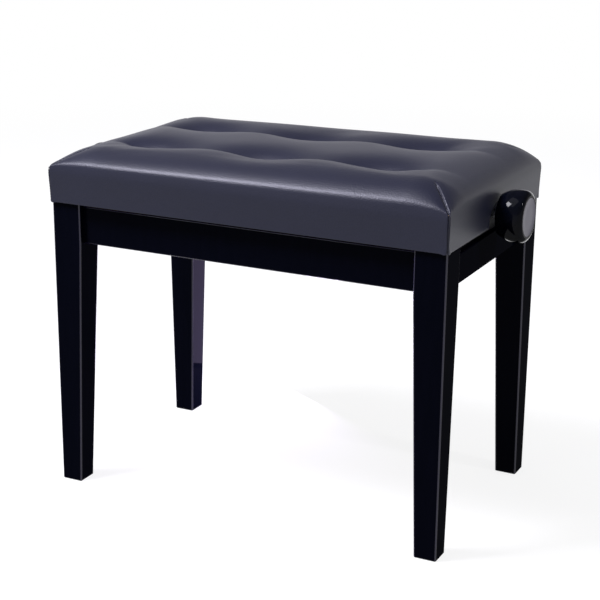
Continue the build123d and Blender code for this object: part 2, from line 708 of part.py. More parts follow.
def crowned_block(box_height, inset):
    """Crowned and tufted top on a box, drawn in from the leather's outside by inset."""
    with BuildPart() as crowned:
        with BuildSketch(Plane.XZ):
            crown_outline(seat_length, inset)
        extrude(amount=seat_width / 2 - inset, both=True)
        with BuildSketch(Plane.YZ):
            crown_outline(seat_width, inset)
        extrude(amount=seat_length / 2, both=True, mode=Mode.INTERSECT)
        tuft_centre_z = seat_side_top + crown_rise - tuft_depth + tuft_radius
        with Locations((0, 0, tuft_centre_z)):
            with GridLocations(tuft_pitch_x, tuft_pitch_y, 3, 2):
                Sphere(tuft_radius + inset, mode=Mode.SUBTRACT)
        if box_height > 0:
            with BuildSketch(Plane.XY.offset(seat_side_top - inset)):
                Rectangle(seat_length - 2 * inset, seat_width - 2 * inset)
            extrude(amount=-box_height)
    return crowned.part


foam = crowned_block(0.0, seat_lining)
with BuildPart() as seat_foam:
    add(foam)
finish(seat_foam, "seat_foam")

leather_outside = crowned_block(seat_side_height, 0.0)
leather_inside = crowned_block(seat_side_height - 2 * leather_thickness, leather_thickness)
with BuildPart() as leather_cover:
    add(leather_outside)
    add(leather_inside, mode=Mode.SUBTRACT)
    with BuildSketch(Plane.XY.offset(seat_bottom)):
        Rectangle(seat_length - 2 * leather_lip, seat_width - 2 * leather_lip)
    extrude(amount=leather_thickness, mode=Mode.SUBTRACT)
    with BuildSketch(end_plane(-seat_length / 2)):
        with Locations((0, seat_bottom)):
            Circle(shaft_notch_radius)
    extrude(amount=seat_length, mode=Mode.SUBTRACT)
finish(leather_cover, "leather_cover")
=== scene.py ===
"""Looks of the height-adjustable piano bench: leather cushion, lacquered base, knobs, lift and studio light.

Metres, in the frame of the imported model: +Z up, +X towards the right-hand knob, -Y to the front.
"""

import json
import math
from contextlib import contextmanager

import bmesh
import bpy
from mathutils import Matrix, Vector
from mathutils.bvhtree import BVHTree


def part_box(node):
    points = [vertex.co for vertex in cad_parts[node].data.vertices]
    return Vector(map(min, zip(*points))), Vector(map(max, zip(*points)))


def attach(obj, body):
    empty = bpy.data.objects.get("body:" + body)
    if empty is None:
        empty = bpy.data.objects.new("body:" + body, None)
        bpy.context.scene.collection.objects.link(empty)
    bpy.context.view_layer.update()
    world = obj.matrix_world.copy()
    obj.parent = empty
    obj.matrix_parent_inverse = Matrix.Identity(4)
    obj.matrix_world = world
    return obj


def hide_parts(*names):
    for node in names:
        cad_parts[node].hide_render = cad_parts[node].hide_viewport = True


MM = 0.001

# ---------------------------------------------------------------- cushion
GRID_STEP = 5 * MM               # mesh of the leather before it is subdivided
LEATHER_THICKNESS = 1.2 * MM
LIP_WIDTH = 12 * MM              # leather turned under the boards
LIP_FOLD = 1.0 * MM              # tightness of the turn at the foot of the sides
SIDE_HEIGHT = 47.3 * MM          # from the underside to the top edge of the sides
SIDE_BULGE = 1.3 * MM            # the upper part of the sides stands out
BULGE_FADE = 0.8                 # share of the way out from the middle where the top starts to widen with it
EDGE_ROLL = 1.35 * MM            # the top of the sides turns back in by this much
EDGE_ROLL_HEIGHT = 9 * MM
SIDE_ROWS = 8
EDGE_STEPS = (0, 0.6 * MM, 1.6 * MM, 3.2 * MM, 5.6 * MM)   # closer mesh lines next to each edge
CREST_RISE = 2.5 * MM            # steep rise right behind the edges
CREST_WIDTH_SIDE = 4.5 * MM
CREST_WIDTH_END = 24 * MM
CROWN_RISE = 23.5 * MM           # and the long rise towards the middle
CROWN_WIDTH_SIDE = 52 * MM
CROWN_WIDTH_END = 57 * MM
END_PUFF_RISE = 1.7 * MM         # the filling swells a little at the left end
END_PUFF_PLACE = -62 * MM
END_PUFF_HALF_LENGTH = 34 * MM
END_PUFF_WIDTH = 45 * MM
END_PUFF_EDGE = 14 * MM
CROWN_FULLNESS_FRONT = 1.6
CROWN_FULLNESS_BACK = 2.1
CROWN_FULLNESS_END = 1.7
CROWN_LEAN_RIGHT = 0.19          # the top is a little higher at the right end
CROWN_LEAN_LEFT = 0.17           # and lower at the left end
HOLLOW_DEPTH = 13.5 * MM         # six tufts, in two rows of three
HOLLOW_PITCH_X = 159.8 * MM
HOLLOW_PITCH_Y = 129.5 * MM
HOLLOW_SHIFT_X = -9 * MM
HOLLOW_SHIFT_Y = -3.2 * MM
HOLLOW_REACH_X = 52 * MM
HOLLOW_REACH_FRONT = 19.2 * MM
HOLLOW_REACH_BACK = 27 * MM
HOLLOW_POWER_X = 2.0
HOLLOW_POWER_FRONT = 1.06
HOLLOW_POWER_BACK = 1.2
HOLLOW_BLUNTNESS = 0.06          # keeps the bottom of a hollow from being a point
PULL_DEPTH = 5.0 * MM            # the tight crease at each tuft
PULL_HALF_LENGTH = 34 * MM
PULL_REACH_FRONT = 4.5 * MM
PULL_REACH_BACK = 13 * MM
PULL_SHIFT = -2 * MM
PULL_POWER = 1.3
VALLEY_DEPTH = 3.2 * MM          # the valley from tuft to tuft
VALLEY_REACH_FRONT = 5.5 * MM
VALLEY_REACH_BACK = 20 * MM
VALLEY_FADE = 38 * MM
PULL_FINE_LENGTH = 60 * MM       # the mesh is finer this far from a tuft
PULL_FINE_WIDTH = 18 * MM
HOLLOW_FADE = 3 * MM             # the edges stay where they are when the tufts are pulled down
HELD_RIM = 6 * MM                # the simulation leaves the leather alone this far from the edges
HELD_FADE = 10 * MM
HELD_TUFT = 14 * MM
PUFF_FRAMES = 14
PUFF_PRESSURE = 3.0
PUFF_LIMIT = 1.2 * MM            # farthest that the simulation may move a point
PUFF_EVENING = 4                 # rounds in which neighbours share their movement
DART_TURN = (0.64, 0.77)         # direction of the corner darts in plan, inwards from the corner
DART_LENGTH = 60 * MM
DART_DEPTH = 3.0 * MM
DART_HALF_WIDTH = 1.25 * MM
DART_DIP = 0.7 * MM
DART_DIP_HALF_WIDTH = 6.5 * MM
DART_LAP = 0.5 * MM
DART_LAP_PLACE = 3.2 * MM
DART_LAP_HALF_WIDTH = 1.9 * MM
DART_FINE_WIDTH = 10 * MM        # the mesh is finer this far on both sides of the fold
DART_RUN = 5 * MM                # the fold ends this far below the top edge
CORNER_SEAM_DEPTH = 1.2 * MM
CORNER_SEAM_HALF_WIDTH = 1.1 * MM
PUCKER_DROP = 0.9 * MM           # gathered leather at the foot of each corner
PUCKER_OUT = 0.7 * MM
PUCKER_PLACE = 5.0 * MM
PUCKER_HALF_WIDTH = 3.0 * MM
PUCKER_HEIGHT = 9 * MM
FOAM_INSET = 2.4 * MM            # below the outer surface of the leather
FOAM_RELIEF = 4.5 * MM           # room under the darts
FOAM_RELIEF_HALF_WIDTH = 9 * MM
FOAM_RELIEF_RUN = 15 * MM        # the room runs on past the dart's inner end
FOAM_RELIEF_FADE = 12 * MM
FOAM_STEP = 5 * MM
NOTCH_RADIUS = 30.5 * MM
BINDING_DEPTH = 17 * MM          # through the board behind it
BINDING_OVERLAP = 0.3 * MM       # past the outside of the leather
BINDING_THICKNESS = 0.8 * MM
STITCH_LENGTH = 2.1 * MM
STITCH_PITCH = 3.5 * MM
STITCH_RADIUS = 0.42 * MM
SEAM_RADIUS = 0.3 * MM
SMOOTH_ANGLE = 50                # degrees; sharper edges stay sharp

# ---------------------------------------------------------------- discs in the knobs
CAP_RIM = 0.7 * MM               # width of the rolled rim
CAP_DISH = 0.35 * MM             # depth of the disc inside it

# ---------------------------------------------------------------- camera and stage
CAMERA_PLACE = (0.8551, -1.7152, 0.8389)
CAMERA_YAW = 26.374              # degrees, turned left of +Y
CAMERA_PITCH = 17.105            # degrees, looking down
CAMERA_ROLL = 0.557
CAMERA_LENS = 90.2               # millimetres
SENSOR_WIDTH = 36                # millimetres
FLOOR_RADIUS = 12.0
FLOOR_DROP = 0.3 * MM            # below the feet
FLOOR_PAINT = 0.22               # grey level of the floor for the light that it gives back
FLOOR_LIFT = 0.83                # added where the floor is seen, so that the shadow stays faint
FLOOR_SHADOW_RADIUS = 1.8        # inside this radius the floor shows its paint
FLOOR_WHITE_RADIUS = 3.2         # from here on it is plain white
ROOM_LEVEL = 0.38
WALL_LEVEL = 0.42                # how bright the room is above the white horizon, where it is seen
HORIZON_HEIGHT = 0.16            # sine of the elevation up to which it is white
WALL_HEIGHT = 0.38               # and from which it has the wall's level

LEFT_RIGHT = (("left", -1), ("right", 1))
CORNERS = [
    (f"{depth}_{side}", sx, sy) for depth, sy in (("front", -1), ("back", 1)) for side, sx in LEFT_RIGHT
]


# ================================================================ material helpers
def srgb(red, green, blue):
    """Linear colour from the usual 0 to 255 values."""
    shares = [level / 255 for level in (red, green, blue)]
    linear = [((share + 0.055) / 1.055) ** 2.4 if share > 0.04045 else share / 12.92 for share in shares]
    return (*linear, 1.0)


def add_node(tree, kind, values=None, **settings):
    """New node with its settings, and values by input socket."""
    node = tree.nodes.new(kind)
    for key, value in settings.items():
        setattr(node, key, value)
    for socket, value in (values or {}).items():
        node.inputs[socket].default_value = value
    return node


class Nodes:
    """Builds one material's node tree."""

    def __init__(self, name, **shader_values):
        self.material = bpy.data.materials.new(name)
        self.material.use_nodes = True
        self.tree = self.material.node_tree
        self.shader = self.tree.nodes["Principled BSDF"]
        for socket, value in shader_values.items():
            self.shader.inputs[socket.replace("_", " ")].default_value = value
        place = self.add("ShaderNodeTexCoord")
        self.place = place.outputs["Object"]
        self.normal = place.outputs["Normal"]

    def add(self, kind, values=None, **settings):
        return add_node(self.tree, kind, values, **settings)

    def link(self, source, target):
        self.tree.links.new(source, target)

    def stretched(self, x, y, z):
        """The object's coordinates, each multiplied by its own factor."""
        mapping = self.add("ShaderNodeMapping", {"Scale": (x, y, z)}, vector_type="POINT")
        self.link(self.place, mapping.inputs["Vector"])
        return mapping.outputs["Vector"]

    def noise(self, scale, detail=2.0, roughness=0.5, vector=None, distortion=0.0):
        values = {"Scale": scale, "Detail": detail, "Roughness": roughness, "Distortion": distortion}
        node = self.add("ShaderNodeTexNoise", values)
        self.link(vector or self.place, node.inputs["Vector"])
        return node.outputs["Fac"]

    def cells(self, scale, feature="F1"):
        node = self.add("ShaderNodeTexVoronoi", {"Scale": scale}, feature=feature)
        if feature == "SMOOTH_F1":
            node.inputs["Smoothness"].default_value = 0.5
        self.link(self.place, node.inputs["Vector"])
        return node.outputs["Distance"]

    def ramp(self, source, low, high, start=0.0, end=1.0):
        """Maps a value in start..end to a number in low..high."""
        values = {"From Min": start, "From Max": end, "To Min": low, "To Max": high}
        node = self.add("ShaderNodeMapRange", values)
        self.link(source, node.inputs["Value"])
        return node.outputs["Result"]

    def math(self, operation, first, second):
        node = self.add("ShaderNodeMath", operation=operation)
        for socket, value in zip(node.inputs, (first, second)):
            if isinstance(value, (int, float)):
                socket.default_value = value
            else:
                self.link(value, socket)
        return node.outputs["Value"]

    def colours(self, factor, *stops):
        """Colour ramp: each stop is (position, colour)."""
        node = self.add("ShaderNodeValToRGB")
        band = node.color_ramp
        while len(band.elements) < len(stops):
            band.elements.new(0.5)
        for element, (position, colour) in zip(band.elements, stops):
            element.position = position
            element.color = colour
        self.link(factor, node.inputs["Fac"])
        return node.outputs["Color"]

    def mixed(self, factor, first, second):
        """Blend of two colours; second is a fixed colour."""
        node = self.add("ShaderNodeMix", data_type="RGBA")
        self.link(factor, node.inputs["Factor"])
        self.link(first, node.inputs["A"])
        node.inputs["B"].default_value = second
        return node.outputs["Result"]

    def rounding(self, flat, full):
        """0 on faces square to the object's axes, 1 on the roundings between them."""
        split = self.add("ShaderNodeSeparateXYZ")
        self.link(self.normal, split.inputs["Vector"])
        along = [self.math("ABSOLUTE", split.outputs[axis], 0.0) for axis in "XYZ"]
        largest = self.math("MAXIMUM", self.math("MAXIMUM", along[0], along[1]), along[2])
        return self.ramp(largest, 0.0, 1.0, flat, full)

    def into(self, source, socket):
        self.link(source, self.shader.inputs[socket])

    def bump(self, *layers):
        """Bump from layers of (height, strength, distance)."""
        normal = None
        for height, strength, distance in layers:
            node = self.add("ShaderNodeBump", {"Strength": strength, "Distance": distance})
            self.link(height, node.inputs["Height"])
            if normal is not None:
                self.link(normal, node.inputs["Normal"])
            normal = node.outputs["Normal"]
        self.link(normal, self.shader.inputs["Normal"])


# ================================================================ materials
def leather_material():
    """Blue-black leatherette: a pebble grain under a satin top coat."""
    m = Nodes("leather", Specular_IOR_Level=0.15, Roughness=0.38, Coat_Weight=0.15, Coat_IOR=2.0)
    m.shader.inputs["Coat Roughness"].default_value = 0.5
    m.shader.inputs["Specular Tint"].default_value = (0.84, 0.84, 1.0, 1)
    pebbles = m.cells(560, "SMOOTH_F1")
    creases = m.cells(240, "DISTANCE_TO_EDGE")
    cloud = m.noise(14, 3.0)
    speck = m.noise(900, 2.0)
    tone = m.math("ADD", m.math("MULTIPLY", cloud, 0.5), m.math("MULTIPLY", speck, 0.5))
    darker = (0.0018, 0.0026, 0.0125, 1)
    lighter = (0.0036, 0.0046, 0.0175, 1)
    m.into(m.colours(tone, (0.3, darker), (0.7, lighter)), "Base Color")
    m.bump((pebbles, 0.45, 0.35 * MM), (creases, 0.06, 0.3 * MM))
    m.link(m.shader.inputs["Normal"].links[0].from_socket, m.shader.inputs["Coat Normal"])
    return m.material


def thread_material():
    """Black polyester sewing thread."""
    m = Nodes("seam_thread", Roughness=0.6, Specular_IOR_Level=0.3)
    twist = m.noise(2600, 1.0)
    m.into(m.colours(twist, (0.3, (0.004, 0.004, 0.007, 1)), (0.7, (0.014, 0.014, 0.022, 1))), "Base Color")
    m.bump((twist, 0.3, 0.1 * MM))
    return m.material


def lacquer_material(name, flat_coat, edge_coat, edge_highlight_colour):
    """Deep near-black polyester lacquer with a painted highlight: its base colour turns lighter along the
    rounded edges, where its coat also shines more.
    """
    m = Nodes(name, Specular_IOR_Level=0.0, Roughness=0.4, Coat_Roughness=0.05)
    grain = m.noise(6, 3.0, vector=m.stretched(26, 26, 3), distortion=0.4)
    flow = m.noise(22, 2.0)
    rounding = m.rounding(0.998, 0.965)
    body = m.colours(grain, (0.35, (0.0011, 0.0015, 0.0044, 1)), (0.7, (0.0015, 0.0018, 0.0052, 1)))
    # painted highlight: the base colour turns to the lighter edge colour on the roundings
    m.into(m.mixed(rounding, body, edge_highlight_colour), "Base Color")
    m.into(m.ramp(rounding, flat_coat, edge_coat), "Coat Weight")
    m.bump((flow, 0.035, 0.8 * MM))
    return m.material


def plywood_material(name, ply_axis):
    """Pale plywood whose plies lie across ply_axis, with wood grain along the boards."""
    m = Nodes(name, Specular_IOR_Level=0.25)
    stretch = {"x": (8, 1.2, 40), "y": (1.2, 8, 40), "z": (1.2, 40, 40)}[ply_axis]
    grain = m.noise(3.2, 5.0, 0.6, m.stretched(*stretch), 0.6)
    split = m.add("ShaderNodeSeparateXYZ")
    m.link(m.place, split.inputs["Vector"])
    across = split.outputs[ply_axis.upper()]
    ply = m.math("PINGPONG", across, 1.5 * MM)
    plies = m.ramp(ply, 0.0, 1.0, 0.55 * MM, 0.95 * MM)
    wood = m.colours(
        grain, (0.3, srgb(168, 128, 84)), (0.55, srgb(196, 158, 112)), (0.8, srgb(214, 182, 138))
    )
    mix = m.add("ShaderNodeMix", data_type="RGBA", blend_type="MULTIPLY")
    mix.inputs["Factor"].default_value = 0.35
    m.link(wood, mix.inputs["A"])
    m.link(m.colours(plies, (0.0, srgb(150, 112, 78)), (1.0, srgb(255, 250, 240))), mix.inputs["B"])
    m.into(mix.outputs["Result"], "Base Color")
    m.into(m.ramp(grain, 0.62, 0.82), "Roughness")
    m.bump((grain, 0.25, 0.4 * MM))
    return m.material


def foam_material():
    """Cream upholstery foam with open cells."""
    m = Nodes("foam", Roughness=0.95, Specular_IOR_Level=0.15)
    pores = m.cells(520)
    m.into(m.colours(pores, (0.1, srgb(176, 160, 112)), (0.6, srgb(224, 212, 168))), "Base Color")
    m.bump((pores, 0.6, 0.8 * MM))
    return m.material


def knob_material():
    """Polished black plastic that shines most at its outline."""
    m = Nodes("knob_plastic", Specular_IOR_Level=0.0, Coat_Roughness=0.06, Coat_IOR=2.0)
    haze = m.noise(160, 3.0)
    darker = (0.0008, 0.0012, 0.0030, 1)
    lighter = (0.0020, 0.0024, 0.0055, 1)
    m.into(m.colours(haze, (0.3, darker), (0.8, lighter)), "Base Color")
    m.into(m.ramp(haze, 0.3, 0.42, 0.35, 0.75), "Roughness")
    facing = m.add("ShaderNodeLayerWeight", {"Blend": 0.5})
    m.into(m.ramp(facing.outputs["Facing"], 0.05, 1.0, 0.68, 0.84), "Coat Weight")
    m.bump((m.noise(30, 1.0), 0.03, 0.5 * MM))
    return m.material


def turned_steel(name, colour, roughness, marks, strength):
    """Metal with fine lathe or rolling marks along X."""
    m = Nodes(name, Metallic=1.0)
    lines = m.noise(1.0, 2.0, 0.6, m.stretched(marks, marks / 30, marks / 30))
    stain = m.noise(35, 3.0)
    dim = tuple(c * 0.72 for c in colour[:3]) + (1,)
    m.into(m.colours(stain, (0.3, dim), (0.7, colour)), "Base Color")
    m.into(m.ramp(lines, roughness - 0.07, roughness + 0.1, 0.3, 0.7), "Roughness")
    m.bump((lines, strength, 0.05 * MM))
    return m.material


def knob_cap_material():
    """Satin silver foil disc."""
    m = Nodes("knob_cap", Metallic=0.85)
    lines = m.noise(1.0, 2.0, 0.6, m.stretched(200, 90, 2400))
    m.into(m.colours(lines, (0.3, srgb(84, 82, 92)), (0.7, srgb(97, 95, 106))), "Base Color")
    m.into(m.ramp(lines, 0.38, 0.5, 0.3, 0.7), "Roughness")
    m.bump((lines, 0.05, 0.05 * MM))
    return m.material


def zinc_material():
    """Bright zinc plate with a faint blue cast and small stains."""
    m = Nodes("zinc_steel", Metallic=1.0)
    patch = m.noise(120, 4.0, 0.6)
    m.into(m.colours(patch, (0.3, srgb(150, 156, 168)), (0.7, srgb(196, 200, 206))), "Base Color")
    m.into(m.ramp(patch, 0.24, 0.42, 0.3, 0.7), "Roughness")
    m.bump((m.noise(700, 2.0), 0.08, 0.1 * MM))
    return m.material


def powder_coat_material():
    """Black powder coat with a fine orange-peel surface."""
    m = Nodes("black_steel", Specular_IOR_Level=0.04)
    peel = m.noise(750, 2.0)
    wear = m.noise(40, 4.0, 0.65)
    m.into(m.colours(wear, (0.3, srgb(14, 14, 17)), (0.75, srgb(26, 26, 30))), "Base Color")
    m.into(m.ramp(wear, 0.46, 0.62, 0.3, 0.7), "Roughness")
    m.bump((peel, 0.25, 0.15 * MM))
    return m.material


def nylon_material(name, darker, lighter):
    """Nylon with a faint moulded haze."""
    m = Nodes(name, Specular_IOR_Level=0.4)
    haze = m.noise(90, 3.0)
    m.into(m.colours(haze, (0.3, darker), (0.7, lighter)), "Base Color")
    m.into(m.ramp(haze, 0.32, 0.48, 0.3, 0.7), "Roughness")
    m.bump((m.noise(500, 1.0), 0.06, 0.1 * MM))
    return m.material


def make_materials():
    """One material for each slot of the record, and those of the scene's own pieces."""
    return {
        "leather": leather_material(),
        "thread": thread_material(),
        # the edge colour is a painted highlight on the rounded edges
        "lacquered_wood": lacquer_material(
            "lacquered_wood", flat_coat=0.018, edge_coat=0.8, edge_highlight_colour=(0.012, 0.009, 0.034, 1)
        ),
        # copy for the end aprons with a much fainter painted edge highlight and little coat on the edges, so
        # their top edges stay dark
        "lacquered_wood_end": lacquer_material(
            "lacquered_wood_end", flat_coat=0.012, edge_coat=0.02, edge_highlight_colour=(0.002, 0.002, 0.006, 1)
        ),
        "plywood_flat": plywood_material("plywood_flat", "z"),
        "plywood_side": plywood_material("plywood_side", "y"),
        "plywood_end": plywood_material("plywood_end", "x"),
        "foam": foam_material(),
        "knob_plastic": knob_material(),
        "knob_cap": knob_cap_material(),
        "nylon": nylon_material("nylon", srgb(214, 212, 200), srgb(236, 235, 226)),
        # black copy of the nylon, used as painted shade on the shaft bushes
        "nylon_black": nylon_material("nylon_black", srgb(20, 20, 24), srgb(30, 30, 35)),
        "bright_steel": turned_steel("bright_steel", srgb(188, 190, 194), 0.26, 2600, 0.08),
        "brass": turned_steel("brass", srgb(206, 168, 92), 0.3, 1800, 0.1),
        "zinc_steel": zinc_material(),
        "black_steel": powder_coat_material(),
    }


def dress_nodes(frame, materials):
    """Give each carried-over CAD node the material of its slot."""
    for part in frame["record"]["subparts"]:
        name = part["node"]
        slot = part["material_slot"]
        if slot == "plywood":
            side = name.split("_")[-1]
            faces = {"board": "plywood_flat", "front": "plywood_side", "back": "plywood_side"}
            slot = faces.get(side, "plywood_end")
        # painted shade: the shaft bushes get a black copy of the nylon instead of their slot's pale one, so
        # the notch reads dark
        if name.startswith("shaft_bush"):
            slot = "nylon_black"
        # the end aprons get the lacquer copy with the fainter painted edge highlight
        if name in ("apron_left", "apron_right"):
            slot = "lacquered_wood_end"
        node = frame["nodes"][name]
        for spot in node.material_slots:
            spot.material = materials[slot]
        if not node.material_slots:
            node.data.materials.append(materials[slot])


# ================================================================ mesh helpers
def placed(name, data):
    """New object in the scene."""
    made = bpy.data.objects.new(name, data)
    bpy.context.scene.collection.objects.link(made)
    return made


def new_object(name, mesh_data, material):
    """Smooth-shaded object from a mesh, with one material."""
    piece = placed(name, mesh_data)
    mesh_data.materials.clear()
    mesh_data.materials.append(material)
    shade_smooth(mesh_data)
    return piece


def shade_smooth(mesh_data):
    """Smooth shading, except at edges sharper than SMOOTH_ANGLE."""
    mesh_data.polygons.foreach_set("use_smooth", [True] * len(mesh_data.polygons))
    mesh_data.set_sharp_from_angle(angle=math.radians(SMOOTH_ANGLE))


@contextmanager
def mesh_of(piece):
    """The object's mesh, open for editing."""
    build = bmesh.new()
    build.from_mesh(piece.data)
    yield build
    build.to_mesh(piece.data)
    build.free()


def finished_mesh(build, name):
    """Mesh from a bmesh, with its faces turned outwards."""
    bmesh.ops.recalc_face_normals(build, faces=build.faces)
    mesh_data = bpy.data.meshes.new(name)
    build.to_mesh(mesh_data)
    build.free()
    return mesh_data


def apply_modifiers(piece):
    """Bake the object's modifiers into its mesh."""
    bpy.context.view_layer.update()
    baked = bpy.data.meshes.new_from_object(piece.evaluated_get(bpy.context.evaluated_depsgraph_get()))
    piece.modifiers.clear()
    old = piece.data
    piece.data = baked
    bpy.data.meshes.remove(old)


def lathe(name, profile, centre_z, material, turns=96):
    """Closed surface turned about the line along X at centre_z; profile is (x, radius) from axis to axis."""
    build = bmesh.new()
    rings = []
    for x, radius in profile:
        if radius == 0:
            rings.append([build.verts.new((x, 0, centre_z))])
            continue
        ring = []
        for turn in range(turns):
            angle = 2 * math.pi * turn / turns
            ring.append(build.verts.new((x, radius * math.cos(angle), centre_z + radius * math.sin(angle))))
        rings.append(ring)
    for first, second in zip(rings, rings[1:]):
        for turn in range(turns):
            after = (turn + 1) % turns
            corners = [first[turn % len(first)], first[after % len(first)]]
            corners += [second[after % len(second)], second[turn % len(second)]]
            build.faces.new(list(dict.fromkeys(corners)))
    return new_object(name, finished_mesh(build, name), material)


def tube(name, points, radius, material):
    """Round cord along points, as a mesh."""
    curve = bpy.data.curves.new(name, "CURVE")
    curve.dimensions = "3D"
    curve.bevel_depth = radius
    curve.bevel_resolution = 4
    curve.use_fill_caps = True
    spline = curve.splines.new("POLY")
    spline.points.add(len(points) - 1)
    for point, place in zip(spline.points, points):
        point.co = (*place, 1)
    source = placed(name, curve)
    bpy.context.view_layer.update()
    mesh_data = bpy.data.meshes.new_from_object(source.evaluated_get(bpy.context.evaluated_depsgraph_get()))
    bpy.data.objects.remove(source)
    return new_object(name, mesh_data, material)


def join(name, parts):
    """One object from several."""
    build = bmesh.new()
    for part in parts:
        build.from_mesh(part.data)
    mesh_data = bpy.data.meshes.new(name)
    build.to_mesh(mesh_data)
    build.free()
    material = parts[0].data.materials[0]
    for part in parts:
        bpy.data.objects.remove(part)
    return new_object(name, mesh_data, material)


# ================================================================ cushion
def smooth(t):
    """Smooth step from 0 to 1."""
    t = min(max(t, 0.0), 1.0)
    return t * t * (3 - 2 * t)


def roll(distance, width, fullness=2.0):
    """Rounded rise from 0 at the edge to 1 at width behind it."""
    t = min(max(distance / width, 0.0), 1.0)
    return (1 - (1 - t) ** fullness) ** (1 / fullness)


def falloff(distance, reach, power):
    """1 in the middle, fading to 0 beyond reach."""
    return math.exp(HOLLOW_BLUNTNESS**power - math.hypot(distance / reach, HOLLOW_BLUNTNESS) ** power)


def bell(distance, half_width):
    """Gaussian bell."""
    return math.exp(-((distance / half_width) ** 2))


class Cushion:
    """Outer surface of the leather cover."""

    def __init__(self):
        low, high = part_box("leather_cover")
        self.half_x = high.x
        self.half_y = high.y
        self.bottom = low.z
        self.edge_z = low.z + SIDE_HEIGHT

    def hollow_centres(self):
        """Plan places of the six tufts."""
        return [
            (column * HOLLOW_PITCH_X + HOLLOW_SHIFT_X, row * HOLLOW_PITCH_Y + HOLLOW_SHIFT_Y)
            for column in (-1, 0, 1)
            for row in (-0.5, 0.5)
        ]

    def hollows(self, x, y):
        """Depth of the hollows at a place on the top."""
        depth = 0.0
        for centre_x, centre_y in self.hollow_centres():
            across = falloff(x - centre_x, HOLLOW_REACH_X, HOLLOW_POWER_X)
            if y < centre_y:
                depth += across * falloff(y - centre_y, HOLLOW_REACH_FRONT, HOLLOW_POWER_FRONT)
            else:
                depth += across * falloff(y - centre_y, HOLLOW_REACH_BACK, HOLLOW_POWER_BACK)
        return HOLLOW_DEPTH * depth

    def pulls(self, x, y):
        """Depth of the tight creases at the tufts and of the shallow valleys that join them."""
        depth = 0.0
        for centre_x, centre_y in self.hollow_centres():
            behind = y - centre_y - PULL_SHIFT
            across = falloff(behind, PULL_REACH_BACK if behind > 0 else PULL_REACH_FRONT, PULL_POWER)
            depth += PULL_DEPTH * bell(x - centre_x, PULL_HALF_LENGTH) * across
        for row in (-0.5, 0.5):
            behind = y - row * HOLLOW_PITCH_Y - HOLLOW_SHIFT_Y - PULL_SHIFT
            beyond = max(abs(x - HOLLOW_SHIFT_X) - HOLLOW_PITCH_X, 0)
            across = falloff(behind, VALLEY_REACH_BACK if behind > 0 else VALLEY_REACH_FRONT, PULL_POWER)
            depth += VALLEY_DEPTH * bell(beyond, VALLEY_FADE) * across
        return depth

    def crown(self, x, y):
        """Height of the top before the tufts are pulled down."""
        side = self.half_y - abs(y)
        end = self.half_x - abs(x)
        crest = CREST_RISE * roll(side, CREST_WIDTH_SIDE) * roll(end, CREST_WIDTH_END)
        fullness = CROWN_FULLNESS_FRONT if y < 0 else CROWN_FULLNESS_BACK
        crown = CROWN_RISE * roll(side, CROWN_WIDTH_SIDE, fullness)
        crown *= roll(end, CROWN_WIDTH_END, CROWN_FULLNESS_END)
        if x < 0:
            along = bell(y - END_PUFF_PLACE, END_PUFF_HALF_LENGTH)
            crown += END_PUFF_RISE * along * roll(end, END_PUFF_EDGE) * bell(end, END_PUFF_WIDTH)
        lean = 1 + (CROWN_LEAN_RIGHT if x > 0 else CROWN_LEAN_LEFT) * x / self.half_x
        return self.edge_z + (crest + crown) * lean

    def height(self, x, y):
        """Height of the tufted top."""
        return self.crown(x, y) - self.hollows(x, y) - self.pulls(x, y)

    def outward(self, z):
        """How far the side stands out at this height."""
        t = (z - self.bottom) / (self.edge_z - self.bottom)
        turned = max(0.0, 1 - (self.edge_z - z) / EDGE_ROLL_HEIGHT)
        return SIDE_BULGE * smooth(t) - EDGE_ROLL * turned**2

    def top_point(self, x, y):
        """A point of the top, with the sides' bulge faded in from the middle."""
        reach = max(abs(x) / self.half_x, abs(y) / self.half_y)
        grow = (SIDE_BULGE - EDGE_ROLL) * smooth((reach - BULGE_FADE) / (1 - BULGE_FADE))
        shift_x = grow * x / self.half_x
        shift_y = grow * y / self.half_y
        return Vector((x + shift_x, y + shift_y, self.crown(x, y)))

    def fold_place(self, x, y):
        """Distances along and across the nearest corner's dart; across is above 0 beside the end panel."""
        inward_x = self.half_x - abs(x)
        inward_y = self.half_y - abs(y)
        turn_x, turn_y = DART_TURN
        return inward_x * turn_x + inward_y * turn_y, inward_y * turn_x - inward_x * turn_y


def spaced(half, step):
    """Grid places from -half to half, closer together near both ends."""
    inner = half - EDGE_STEPS[-1]
    count = math.ceil(2 * inner / step)
    near_edge = [half - distance for distance in EDGE_STEPS[:-1]]
    middle = [inner - 2 * inner * index / count for index in range(count + 1)]
    return [-place for place in near_edge] + middle[::-1] + near_edge[::-1]


def ring_around(last_i, last_j):
    """Grid spots around the rim, in order."""
    ring = [(i, 0) for i in range(last_i)] + [(last_i, j) for j in range(last_j)]
    return ring + [(i, last_j) for i in range(last_i, 0, -1)] + [(0, j) for j in range(last_j, 0, -1)]


def top_sheet(build, xs, ys, place):
    """Grid of vertices at place(x, y), with its faces."""
    grid = {}
    for i, x in enumerate(xs):
        for j, y in enumerate(ys):
            grid[i, j] = build.verts.new(place(x, y))
    for i in range(len(xs) - 1):
        for j in range(len(ys) - 1):
            build.faces.new((grid[i, j], grid[i + 1, j], grid[i + 1, j + 1], grid[i, j + 1]))
    return grid


def wall(build, levels):
    """Faces between rings of vertices, from the top ring down."""
    for upper, lower in zip(levels, levels[1:]):
        for spot in range(len(upper)):
            after = (spot + 1) % len(upper)
            build.faces.new((upper[after], upper[spot], lower[spot], lower[after]))


